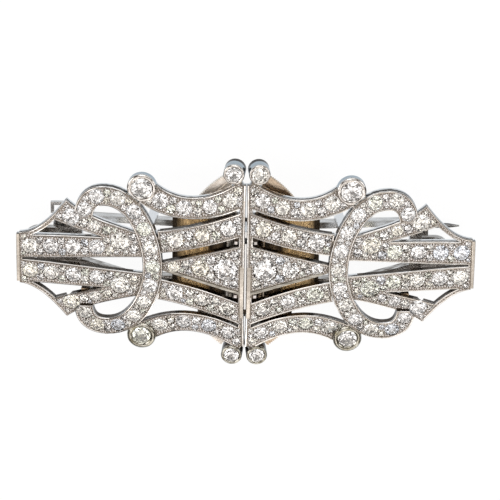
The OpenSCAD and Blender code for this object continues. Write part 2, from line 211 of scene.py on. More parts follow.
def per_mm(size):
    """Scale of a noise whose patches are of a size in millimetres."""
    return 1 / (size * MM)


def new_material(name):
    material = bpy.data.materials.new(name)
    material.use_nodes = True
    return material, Nodes(material.node_tree)


# Finishes
METAL_IOR = 2.3
DIAMOND_IOR = 2.417


def metal(name, dark, light, rough, patch, bump=0.0, marks=0.1, stretch=(1, 1, 1)):
    """A metal whose colour and roughness vary in patches, with fine marks, both sized in millimetres."""
    material, n = new_material(name)
    coords = n.coords(stretch)
    cloud = n.noise(per_mm(patch), coords)
    shader = n.add("ShaderNodeBsdfPrincipled", Metallic=1.0, IOR=METAL_IOR)
    n.set(shader, Base_Color=n.ramp(cloud, [(0.3, dark), (0.7, light)]))
    n.set(shader, Roughness=n.range(cloud, rough[1], rough[0]))
    if bump:
        relief = n.noise(per_mm(marks), coords, 4.0)
        n.set(shader, Normal=n.bump(relief, bump, marks * MM))
    n.show(shader.outputs["BSDF"])
    return material


def wall_metal(name, stops):
    """Metal of walls, coloured by half their depth below the front in millimetres."""
    material, n = new_material(name)
    depth = n.add("ShaderNodeAttribute")
    depth.attribute_name = "depth"
    cloud = n.noise(per_mm(0.5), n.coords())
    half_depth = n.multiply_add(depth.outputs["Fac"], 0.5, n.range(cloud, -0.03, 0.03))
    shader = n.add("ShaderNodeBsdfPrincipled", Metallic=1.0, IOR=METAL_IOR)
    n.set(shader, Base_Color=n.ramp(half_depth, stops))
    n.set(shader, Roughness=n.range(cloud, 0.24, 0.10))
    n.show(shader.outputs["BSDF"])
    return material


def plate_gold():
    """The frame's centre plate: dark stripes at the middle, painted shade and highlights, then gold whose face
    leans towards +Y, then painted shade at its end.
    """
    material, n = new_material("plate_gold")
    place = n.add("ShaderNodeSeparateXYZ", Vector=n.coords((1 / MM, 1 / MM, 1 / MM)))
    cloud = n.noise(per_mm(0.6), n.coords((1, 0.15, 1)))
    reach = n.multiply_add(cloud, 0.8, n.absolute(place.outputs["X"]))
    shader = n.add("ShaderNodeBsdfPrincipled", Metallic=0.8, IOR=1.6)
    n.set(shader, Base_Color=n.ramp(n.range(reach, 0.0, 1.0, 0.0, 10.0), PLATE_COLOURS))
    n.set(shader, Roughness=n.range(cloud, 0.34, 0.20))
    height = n.multiply_add(place.outputs["Y"], -PLATE_LEAN, n.range(cloud, 0.0, 0.025))
    n.set(shader, Normal=n.bump(height, 1.0, MM))
    n.show(shader.outputs["BSDF"])
    return material


def gem(name, tint):
    material, n = new_material(name)
    shader = n.add("ShaderNodeBsdfPrincipled", Base_Color=(*tint, 1), Roughness=0.0, IOR=DIAMOND_IOR)
    n.set(shader, Transmission_Weight=1.0)
    n.show(shader.outputs["BSDF"])
    return material


# Stops of the walls' colours: half the depth in millimetres, colour. A light band at the top edge, then a
# painted dark line of shade just below the rim, then bright metal deeper down
WALL_COLOURS = [
    (0.03, (0.80, 0.77, 0.74)),
    (0.06, (0.04, 0.035, 0.03)),
    (0.15, (0.07, 0.06, 0.05)),
    (0.22, (0.96, 0.96, 0.96)),
]
# Stops of the bezels' outer walls: half the depth in millimetres, colour. The blue-grey tint is partly painted
# reflection of the floor, and the dark last stop is a painted shade line at the wall's foot
BEZEL_COLOURS = [
    (0.0, (0.62, 0.66, 0.68)),
    (0.14, (0.46, 0.53, 0.58)),
    (0.49, (0.52, 0.59, 0.64)),
    (0.515, (0.05, 0.04, 0.035)),
]
# Stops of the centre plate's colours: distance from the middle in centimetres, colour. The dark and brown
# stripes near the middle are painted shade and painted highlights, the gold is the plate's own colour, and the
# last dark stop is painted shade at the plate's end
PLATE_COLOURS = [
    (0.15, (0.03, 0.02, 0.012)),
    (0.24, (0.22, 0.19, 0.14)),
    (0.32, (0.02, 0.015, 0.01)),
    (0.42, (0.22, 0.15, 0.085)),
    (0.50, (0.03, 0.02, 0.015)),
    (0.60, (1.0, 0.68, 0.32)),
    (0.87, (1.0, 0.70, 0.36)),
    (0.96, (0.05, 0.035, 0.02)),
]
PLATE_LEAN = 0.46

POLISHED = metal("platinum_polished", (0.72, 0.66, 0.59), (0.99, 0.98, 0.97), (0.06, 0.16), 1.3, 0.08, 0.06)
EDGE = metal("platinum_edge", (0.19, 0.17, 0.14), (0.68, 0.65, 0.58), (0.10, 0.2), 0.35, 0.08, 0.06,
             stretch=(0.15, 1, 1))
PLAIN = metal("platinum_plain", (0.50, 0.45, 0.385), (0.70, 0.645, 0.575), (0.08, 0.18), 0.5, 0.08, 0.06)
LIP = metal("platinum_lip", (0.52, 0.48, 0.43), (0.92, 0.89, 0.86), (0.06, 0.16), 0.35, 0.08, 0.06)
GROUND = metal("platinum_ground", (0.03, 0.024, 0.018), (0.58, 0.515, 0.44), (0.20, 0.36), 0.10, 0.6, 0.07)
WALL = wall_metal("platinum_wall", WALL_COLOURS)
# A darker olive copy of the lip metal for the lower bezels' lips: painted shade
SHADED_OLIVE_LIP = metal("platinum_lip_shaded", (0.20, 0.175, 0.11), (0.72, 0.70, 0.63), (0.10, 0.22), 0.8, 0.08, 0.06)
BEZEL_WALL = wall_metal("platinum_bezel", BEZEL_COLOURS)
DARK_WALL = metal("platinum_shade", (0.02, 0.016, 0.012), (0.13, 0.10, 0.075), (0.14, 0.28), 0.7, 0.08)
# A darker brown copy of the wrap metal, for deep upward faces below the middle: painted shade
SHADED_WRAP = metal("platinum_wrap_shaded", (0.16, 0.11, 0.07), (0.55, 0.42, 0.28), (0.20, 0.34), 0.6, 0.1,
                   stretch=(0.2, 1, 1))
WRAP = metal("platinum_wrap", (0.55, 0.53, 0.50), (0.95, 0.94, 0.93), (0.20, 0.34), 0.5, 0.1,
             stretch=(0.2, 1, 1))
RIDGE = metal("frame_ridge", (0.90, 0.90, 0.90), (1.0, 1.0, 1.0), (0.24, 0.36), 0.5)
BEAD = metal("platinum_bead", (0.58, 0.53, 0.50), (0.97, 0.94, 0.92), (0.04, 0.10), 0.3)
# The levers' gold, and a lighter copy of it for the left lever: painted light
GOLD = metal("lever_gold", (0.55, 0.42, 0.30), (0.74, 0.60, 0.46), (0.16, 0.30), 0.4, 0.12, 0.08)
LIT_LEVER_GOLD = metal("lever_gold_lit", (0.90, 0.80, 0.69), (1.0, 0.95, 0.88), (0.36, 0.5), 0.5, 0.12, 0.08)
FRAME_METAL = metal("frame_metal", (0.12, 0.09, 0.065), (0.92, 0.90, 0.87), (0.12, 0.26), 0.35, 0.1,
                    stretch=(0.12, 1, 1))
PLATE_GOLD = plate_gold()
# Dark grey pin metal, made darker still as painted shade
PIN_METAL = metal("pin_metal", (0.10, 0.10, 0.10), (0.46, 0.45, 0.43), (0.12, 0.26), 0.5, 0.08, 0.08,
                  stretch=(0.2, 1, 1))
DIAMONDS = [
    gem("diamond_white", (1.0, 0.99, 0.975)),
    gem("diamond_warm", (1.0, 0.975, 0.905)),
    gem("diamond_champagne", (1.0, 0.955, 0.83)),
    gem("diamond_green", (0.965, 0.98, 0.86)),
    gem("diamond_blue", (0.90, 0.94, 1.0)),
]
# Odds of those tints above and below the middle line
UPPER_ODDS = [46, 26, 8, 9, 9]
LOWER_ODDS = [30, 30, 14, 20, 5]


# Shapes: points and faces, with stones and grains of radius 1
def ring(sides, radius, height, turn=0):
    """Points round a circle, turned by a part of a step."""
    angles = [2 * math.pi * (k + turn) / sides for k in range(sides)]
    return [(radius * math.cos(a), radius * math.sin(a), height) for a in angles]


def brilliant(table=0.56, crown=0.3, star=0.80, pavilion=0.86, lower=0.42, culet=0.07, belt=0.06):
    """An old brilliant cut: 8 stars, 8 kites, 16 upper and 16 lower halves, 8 mains and an open culet."""
    inward = math.cos(math.pi / 8)
    star_z = crown * (1 - star * inward) / (1 - table)
    lower_z = -belt - pavilion * (1 - lower * inward)
    culet_z = -belt - pavilion * (1 - culet * inward)
    points = ring(8, table, crown) + ring(8, star, star_z, 0.5)
    points += ring(8, 1, 0) + ring(8, 1, 0, 0.5) + ring(8, 1, -belt) + ring(8, 1, -belt, 0.5)
    points += ring(8, lower, lower_z, 0.5) + ring(8, culet, culet_z, 0.5)
    t, s, g, m, gb, mb, low, c = [[8 * i + k for k in range(8)] for i in range(8)]
    faces = [t, c[::-1]]
    for k in range(8):
        n = (k + 1) % 8
        p = (k - 1) % 8
        faces += [
            [t[n], t[k], s[k]],
            [t[k], s[p], g[k], s[k]],
            [s[k], g[k], m[k]],
            [s[k], m[k], g[n]],
            [g[k], gb[k], mb[k], m[k]],
            [m[k], mb[k], gb[n], g[n]],
            [low[k], mb[k], gb[k]],
            [low[k], gb[n], mb[k]],
            [c[p], c[k], low[k], gb[k], low[p]],
        ]
    return points, faces


def single_cut(table=0.6, crown=0.28, pavilion=0.72, belt=0.08):
    """A small stone with 8 crown facets and 8 pavilion facets."""
    points = ring(8, table, crown) + ring(8, 1, 0) + ring(8, 1, -belt) + [(0, 0, -belt - pavilion)]
    faces = [list(range(8))]
    for k in range(8):
        n = (k + 1) % 8
        faces += [[k, 8 + k, 8 + n, n], [8 + k, 16 + k, 16 + n, 8 + n], [16 + k, 24, 16 + n]]
    return points, faces


def grain(rings=3, sides=8, foot=0.8):
    """A small domed grain of metal with a foot."""
    points = ring(sides, 1, -foot)
    for j in range(rings):
        rise = j / rings * math.pi / 2
        points += ring(sides, math.cos(rise), math.sin(rise))
    top = len(points)
    points.append((0, 0, 1))
    faces = [list(range(sides))[::-1]]
    for j in range(rings):
        for k in range(sides):
            n = (k + 1) % sides
            faces.append([j * sides + k, j * sides + n, (j + 1) * sides + n, (j + 1) * sides + k])
    faces += [[rings * sides + k, rings * sides + (k + 1) % sides, top] for k in range(sides)]
    return points, faces


def box(low, high):
    """A box between its lowest and highest corners."""
    points = [(x, y, z) for z in (low[2], high[2]) for y in (low[1], high[1]) for x in (low[0], high[0])]
    return points, [[0, 2, 3, 1], [4, 5, 7, 6], [0, 1, 5, 4], [1, 3, 7, 5], [3, 2, 6, 7], [2, 0, 4, 6]]


def rounded_bar(width, height, depth=0.12, bevel=0.05):
    """Section of a low bar from its outer edge inward: a flat foot, sides and a rounded top."""
    return [(0, -depth), (0, height - bevel), (0.3 * bevel, height - 0.3 * bevel), (bevel, height),
            (width - bevel, height), (width - 0.3 * bevel, height - 0.3 * bevel), (width, height - bevel),
            (width, -depth)]


def bar_along(points, inwards, section, closed=False):
    """A bar of some section along a chain of points: its outer face is flush with the wall."""
    count = len(points) - 1 if closed else len(points)
    n = len(section)
    bar_points = []
    for p, inward in zip(points[:count], inwards[:count]):
        for x, z in section:
            bar_points.append((p.x + inward.x * x, p.y + inward.y * x, p.z + z))
    faces = []
    for i in range(count if closed else count - 1):
        j = (i + 1) % count
        for k in range(n):
            m = (k + 1) % n
            faces.append([i * n + k, j * n + k, j * n + m, i * n + m])
    if not closed:
        faces.append(list(range(n)))
        faces.append([(count - 1) * n + k for k in range(n)][::-1])
    return bar_points, faces


def bezel_lip(radius, inner, seat, rise, sides=56):
    """The rounded lip of a bezel, round its own axis, from the rim's height: it grips the stone's edge."""
    middle = (inner + radius) / 2
    section = [(radius, -0.2), (radius, 0.02), (radius - 0.05, 0.6 * rise), (middle + 0.06, rise),
               (middle - 0.04, rise), (inner + 0.05, 0.65 * rise), (inner, 0.4 * rise), (inner, -0.02),
               (seat, -0.1), (seat, -0.2)]
    n = len(section)
    points = []
    for k in range(sides):
        turn = 2 * math.pi * k / sides
        points += [(r * math.cos(turn), r * math.sin(turn), z) for r, z in section]
    faces = []
    for k in range(sides):
        m = (k + 1) % sides
        faces += [[k * n + i, m * n + i, m * n + (i + 1) % n, k * n + (i + 1) % n] for i in range(n)]
    return points, faces


class Shapes:
    """Collects copies of shapes and makes one object of them."""

    def __init__(self):
        self.points = []
        self.faces = []
        self.slots = []
        self.smooth = []

    def add(self, shape, matrix, slot=0, smooth=False):
        start = len(self.points)
        flip = matrix.determinant() < 0
        self.points += [matrix @ Vector(p) for p in shape[0]]
        for face in shape[1]:
            corners = [start + i for i in face]
            self.faces.append(corners[::-1] if flip else corners)
            self.slots.append(slot)
            self.smooth.append(smooth)

    def make(self, name, body, materials, slot):
        mesh = bpy.data.meshes.new(name)
        mesh.from_pydata(self.points, [], self.faces)
        for material in materials:
            mesh.materials.append(material)
        mesh.polygons.foreach_set("material_index", self.slots)
        mesh.polygons.foreach_set("use_smooth", self.smooth)
        mesh.validate()
        mesh.update()
        obj = new_object(name, mesh)
        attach(obj, body)
        return obj


def on_axis(centre, axis, spin, size):
    """Matrix that stands a shape on centre with its own Z along axis."""
    turn = Vector((0, 0, 1)).rotation_difference(axis).to_matrix().to_4x4()
    return Matrix.Translation(centre) @ turn @ Matrix.Rotation(spin, 4, "Z") @ Matrix.Scale(size, 4)


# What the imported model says
def local_mesh(node, side):
    """A CAD node's mesh with its points joined, in a clip's own axes in millimetres."""
    work = bmesh.new()
    work.from_mesh(frame["nodes"][node].data)
    bmesh.ops.remove_doubles(work, verts=work.verts, dist=1e-7)
    work.transform(clip_matrix(side).inverted())
    if side < 0:
        bmesh.ops.reverse_faces(work, faces=work.faces)
    work.normal_update()
    return work


def loose_parts(work):
    seen = set()
    for first in work.verts:
        if first in seen:
            continue
        seen.add(first)
        part = [first]
        for vert in part:
            for edge in vert.link_edges:
                other = edge.other_vert(vert)
                if other not in seen:
                    seen.add(other)
                    part.append(other)
        yield part


def stones_in(node, side):
    """(centre of the girdle's top, axis, radius) of each stone in a node, in a clip's own axes."""
    work = local_mesh(node, side)
    found = []
    for part in loose_parts(work):
        mean = sum((p.co for p in part), Vector()) / len(part)
        axis = bezel_normal(mean.y) if "bezel" in node else front_normal(mean.y)
        rise = [p.co.dot(axis) for p in part]
        centre_line = mean - axis * mean.dot(axis)
        radius = max((p.co - axis * p.co.dot(axis) - centre_line).length for p in part)
        girdle = min(rise) + GIRDLE_T + PAVILION_PART * radius
        found.append((centre_line + axis * girdle, axis, radius))
    work.free()
    return found


# Places on the front: least rise of an upward face's normal, slack round bezels and bars, slack in height
UPWARD = 0.9
EDGE_SLACK = 0.02
HEIGHT_SLACK = 0.1
# Slots of the plain bars and of the setting
BRIGHT_BAR, BEIGE_BAR, GREY_BAR = range(3)
WALL_SLOT, GROUND_SLOT, BEZEL_SLOT, SHADE_SLOT, WRAP_SLOT, SHADED_WRAP_SLOT = range(6)
# The plain strip beside the slit: from v, to v, outer edge, slot
STRIPS = [
    (STRIP_HALF, 0.6, 0.44, BRIGHT_BAR),
    (0.6, -7.3, 0.76, BEIGE_BAR),
    (-7.3, -STRIP_HALF, 0.44, BRIGHT_BAR),
]
# The broad plain bar along the lower edge of the triangle
TRIANGLE_FOOT = Vector((0.74, -3.63))
TRIANGLE_END = Vector((10.3, -0.86))
TRIANGLE_WAY = TRIANGLE_END - TRIANGLE_FOOT
TRIANGLE_BAR_W = 0.42
TRIANGLE_BAR_SLACK = 0.06
# Walls that are nearly black: lowest u, highest u, lowest v, highest v
SHADES = [(0, 40, -20, -5.5), (15, 40, -5.5, 1), (0, 11.6, -5.5, 8)]


def in_bezel(p):
    return any(math.hypot(p.x - u, abs(p.y) - v) < radius + EDGE_SLACK for u, v, radius, _ in BEZELS)


def in_shade(p):
    return any(u0 < p.x < u1 and v0 < p.y < v1 for u0, u1, v0, v1 in SHADES)


def on_triangle_bar(p):
    offset = Vector((p.x, p.y)) - TRIANGLE_FOOT
    along = offset.dot(TRIANGLE_WAY) / TRIANGLE_WAY.length
    across = offset.dot(Vector((-TRIANGLE_WAY.y, TRIANGLE_WAY.x))) / TRIANGLE_WAY.length
    return 0 < along < TRIANGLE_WAY.length and -TRIANGLE_BAR_SLACK < across < TRIANGLE_BAR_W


def on_bar(p):
    """Whether a place is on a plain bar: beside the slit, at the outer end or below the triangle."""
    on_strip = any(p.x < edge and low <= p.y <= high for high, low, edge, _ in STRIPS)
    on_end = p.x > END_BAR_U[0] and abs(p.y) < END_BAR_HALF + EDGE_SLACK
    return p.x < STRIP_U or on_strip or on_end or on_triangle_bar(p)


def setting_slot(face):
    """Finish of a face of the setting."""
    place = face.center
    if face.normal.z > UPWARD:
        if place.z - front_w(place.y) > -HEIGHT_SLACK:
            return GROUND_SLOT
        # Deep upward faces: the wrap metal above the middle, its darker brown copy below it as painted shade
        return WRAP_SLOT if place.y > 0 else SHADED_WRAP_SLOT
    if in_shade(place):
        return SHADE_SLOT
    return BEZEL_SLOT if in_bezel(place) else WALL_SLOT


# Layout of the small stones and grains over the front, in millimetres
GRID = 0.06
FIELD_U = (0.0, 31.2)
FIELD_V = (-15.6, 15.6)
RAY_START = 3.0
RAY_LENGTH = 6.0
# Level of a place on a bar, and with a minus sign of one off the front. Distance where no seat is near
BAR_LEVEL = 9.0
NO_SEAT = 9.0
# Largest step within one level. Edges nearer than this to a seat are the seat's own
SAME_LEVEL = 0.07
OWN_EDGE = 0.1
# Random change of the room at each place
JITTER = 0.02
# Width that stones and grains leave clear for the rim at an open edge
RIM_W = 0.25
GRAIN_RIM_W = RIM_W - 0.04
# Largest and smallest radius, and the gap between neighbours
STONE_SIZES = (0.62, 0.24)
STONE_APART = 0.04
GRAIN_SIZES = (0.18, 0.085)
GRAIN_APART = -0.01
# How far a grain may reach over a seat's edge, and the room kept round a small stone
GRAIN_OVERLAP = 0.05
STONE_CLEAR = 0.02
# Levels of the front and of the loop: height, width kept clear beside a higher level
STONE_LEVELS = [(0.0, 0.12), (LOOP_RISE, 0.0)]
GRAIN_LEVELS = [(0.0, 0.05), (LOOP_RISE, 0.0)]


class Field:
    """Free room over the front of a clip: how far each place is from an edge or a stone."""

    def __init__(self, work, stones):
        tree = BVHTree.FromBMesh(work)
        self.us = np.arange(FIELD_U[0], FIELD_U[1], GRID)
        self.vs = np.arange(FIELD_V[0], FIELD_V[1], GRID)
        self.uu, self.vv = np.meshgrid(self.us, self.vs, indexing="ij")
        self.level = np.full(self.uu.shape, -BAR_LEVEL)
        down = Vector((0, 0, -1))
        for i, u in enumerate(self.us):
            for j, v in enumerate(self.vs):
                hit, normal, _, _ = tree.ray_cast((u, v, RAY_START), down, RAY_LENGTH)
                if hit and normal.z > UPWARD:
                    self.level[i, j] = BAR_LEVEL if on_bar(Vector((u, v, 0))) else hit.z - front_w(v)
        self.seat = np.full(self.uu.shape, NO_SEAT)
        for centre, _, radius in stones:
            self.keep_clear(centre, radius, SEAT_GAP)

    def keep_clear(self, centre, radius, gap):
        away = np.hypot(self.uu - centre.x, self.vv - centre.y) - radius - gap
        self.seat = np.minimum(self.seat, away)

    def room(self, height, rim, wall, overlap=0.0):
        """Clearance on the surface at height: less rim at its open edges, less wall below a higher one."""
        mask = np.abs(self.level - height) < SAME_LEVEL
        open_edge = np.zeros_like(mask)
        foot = np.zeros_like(mask)
        for axis in (0, 1):
            for step in (1, -1):
                other = np.roll(self.level, step, axis)
                edge = mask & (np.abs(other - height) >= SAME_LEVEL) & (self.seat > OWN_EDGE)
                foot |= edge & (other > height)
                open_edge |= edge & (other < height)
        clear = np.where(mask, self.seat + overlap, -1.0)
        for edge, width in ((open_edge, rim), (foot, wall)):
            if edge.any():
                clear = np.minimum(clear, self.distance(edge, mask) - width)
        return clear

    def distance(self, edge, mask):
        places = np.argwhere(edge)
        tree = KDTree(len(places))
        for k, (i, j) in enumerate(places):
            tree.insert((self.us[i], self.vs[j], 0), k)
        tree.balance()
        out = np.full(mask.shape, -1.0)
        for i, j in np.argwhere(mask):
            out[i, j] = tree.find((self.us[i], self.vs[j], 0))[2]
        return out

    def pack(self, clear, sizes, apart, draw):
        """Fills what is free with circles, largest first, no nearer than apart. Returns (u, v, radius)."""
        free = clear + draw.uniform(-JITTER, JITTER, clear.shape)
        largest, smallest = sizes
        found = []
        while True:
            i, j = divmod(int(free.argmax()), free.shape[1])
            radius = min(free[i, j] - apart, largest)
            if radius < smallest:
                return found
            u, v = self.us[i], self.vs[j]
            found.append((u, v, radius))
            reach = int((radius + 2 * largest + 2 * apart) / GRID) + 2
            near = (slice(max(i - reach, 0), i + reach), slice(max(j - reach, 0), j + reach))
            away = np.hypot(self.uu[near] - u, self.vv[near] - v) - radius
            free[near] = np.minimum(free[near], away)


# Rims along the open edges. Section of a rim, from its outer edge inward: across, height
RIM_PROFILE = [(0.0, -0.12), (0.0, 0.07), (0.04, 0.12), (0.11, 0.14), (0.18, 0.12), (0.22, 0.05),
               (0.22, -0.12)]
SHORTEST_RIM = 0.5
# Largest rise of a wall's normal, and slack of a seat's edge in millimetres
WALL_RISE = 0.45
SEAT_SLACK = 0.03


def rim_links(work, stones):
    """For each point of an open edge of the front or the loop: its edges, with the way inward from each."""
    seats = [(c.x, c.y, r + SEAT_GAP) for c, _, r in stones]

    def on_seat(p):
        return any(abs(math.hypot(p.x - u, p.y - v) - r) < SEAT_SLACK for u, v, r in seats)

    links = {}
    for edge in work.edges:
        if len(edge.link_faces) != 2:
            continue
        a, b = edge.link_faces
        top, side = (a, b) if a.normal.z > b.normal.z else (b, a)
        if top.normal.z < UPWARD or abs(side.normal.z) > WALL_RISE or not edge.is_convex:
            continue
        p, q = edge.verts[0].co, edge.verts[1].co
        level = (p.z + q.z) / 2 - front_w((p.y + q.y) / 2)
        if level < -HEIGHT_SLACK or level > LOOP_RISE + HEIGHT_SLACK:
            continue
        if in_bezel(p) or in_bezel(q) or on_bar(p) or on_bar(q):
            continue
        if on_seat(p) and on_seat(q) and on_seat((p + q) / 2):
            continue
        inward = Vector((-side.normal.x, -side.normal.y, 0)).normalized()
        for vert in edge.verts:
            links.setdefault(vert.index, []).append((edge, inward))
    return links


def rim_chains(work, stones):
    """The open edges as chains: points, the way inward at each, and whether the chain is closed."""
    links = rim_links(work, stones)
    used = set()

    def walk(start, edge):
        chain = [start]
        current = start
        while edge is not None:
            used.add(edge.index)
            current = edge.other_vert(current)
            chain.append(current)
            ahead = [e for e, _ in links[current.index] if e.index not in used]
            edge = ahead[0] if len(links[current.index]) == 2 and ahead else None
        return chain

    work.verts.ensure_lookup_table()
    chains = []
    ends = [i for i in links if len(links[i]) != 2]
    for i in ends + list(links):
        for edge, _ in links[i]:
            if edge.index not in used:
                chains.append(walk(work.verts[i], edge))
    result = []
    for chain in chains:
        inwards = []
        for vert in chain:
            total = sum((way for _, way in links[vert.index]), Vector())
            inwards.append(total.normalized() if total.length > 0.01 else links[vert.index][0][1])
        result.append(([v.co.copy() for v in chain], inwards, chain[0] == chain[-1]))
    return result


def tidy_line(points, inwards, step=0.22, corner=0.35):
    """Drops points nearer than step, keeping the ends and the corners."""
    kept = [0]
    for i in range(1, len(points) - 1):
        turn = inwards[i].angle(inwards[kept[-1]], 0)
        if (points[i] - points[kept[-1]]).length > step or turn > corner:
            kept.append(i)
    kept.append(len(points) - 1)
    return [points[i] for i in kept], [inwards[i] for i in kept]


# Plain bars, studs and the cutter of the small seats
PLAIN_BAR_H = 0.1
TRIANGLE_BAR_H = 0.12


def plain_bar(span, high, low):
    """A plain bar over the front, between two u and two v."""
    steps = max(2, round(high - low))
    vs = [high + (low - high) * k / steps for k in range(steps + 1)]
    points = [on_front(span[0], v) for v in vs]
    inwards = [Vector((1, 0, 0))] * len(points)
    return bar_along(points, inwards, rounded_bar(span[1] - span[0], PLAIN_BAR_H))


def triangle_bar(steps=10):
    inward = Vector((-TRIANGLE_WAY.y, TRIANGLE_WAY.x, 0)).normalized()
    places = [TRIANGLE_FOOT + TRIANGLE_WAY * (k / steps) for k in range(steps + 1)]
    points = [on_front(p.x, p.y) for p in places]
    return bar_along(points, [inward] * len(points), rounded_bar(TRIANGLE_BAR_W, TRIANGLE_BAR_H))


# Bright square studs on dark webs at the inner ends of the gaps beside the triangle; the webs' near-black is
# painted shade
STUD_V = (3.9, -4.1)
STUD_DROP = 0.72
# Parts of each: u, half sizes along u and v, height, slot
STUD_PARTS = [
    (1.1, (0.5, 0.7), 0.12, 1),
    (1.35, (0.19, 0.21), 0.42, 0),
]


def end_studs(place):
    studs = Shapes()
    for v in STUD_V:
        foot = front_w(v) - STUD_DROP
        for u, (half_u, half_v), height, slot in STUD_PARTS:
            part = box((u - half_u, v - half_v, foot), (u + half_u, v + half_v, foot + height))
            studs.add(part, place, slot)
    return studs


# The cutter's top, edge and tip, as shares of its radius, and its room round the stone in millimetres
CUTTER_TOP = 0.6
CUTTER_EDGE = -0.16
CUTTER_TIP = -1.05
CUTTER_ROOM = 0.03


def seat_cutter(stones, sides=12):
    """Small seats for stones set in the plate, as one mesh in a clip's own axes."""
    points = ring(sides, 1, CUTTER_TOP) + ring(sides, 1, CUTTER_EDGE) + [(0, 0, CUTTER_TIP)]
    faces = [list(range(sides))]
    for k in range(sides):
        n = (k + 1) % sides
        faces += [[k, sides + k, sides + n, n], [sides + k, 2 * sides, sides + n]]
    cutters = Shapes()
    for centre, axis, radius in stones:
        cutters.add((points, faces), on_axis(centre, axis, 0, radius + CUTTER_ROOM))
    mesh = bpy.data.meshes.new("cutters")
    mesh.from_pydata(cutters.points, [], cutters.faces)
    return new_object("cutters", mesh)


# Lips of the bezels, upper then lower: share of the stone's radius left clear, rise in millimetres, slot. Slot
# 1 is the darker olive copy of the lip metal, painted shade on the lower lips
LIPS = [
    ((0.92, 0.17, 0), (0.92, 0.20, 1)),
    ((0.90, 0.17, 0), (0.80, 0.34, 1)),
]
# How far a lip's foot covers the gap round its stone
LIP_COVER = 0.02
# Spread of the stones' lean, as a slope, and rise of the small stones in millimetres
STONE_LEAN = 0.05
SMALL_STONE_RISE = 0.02


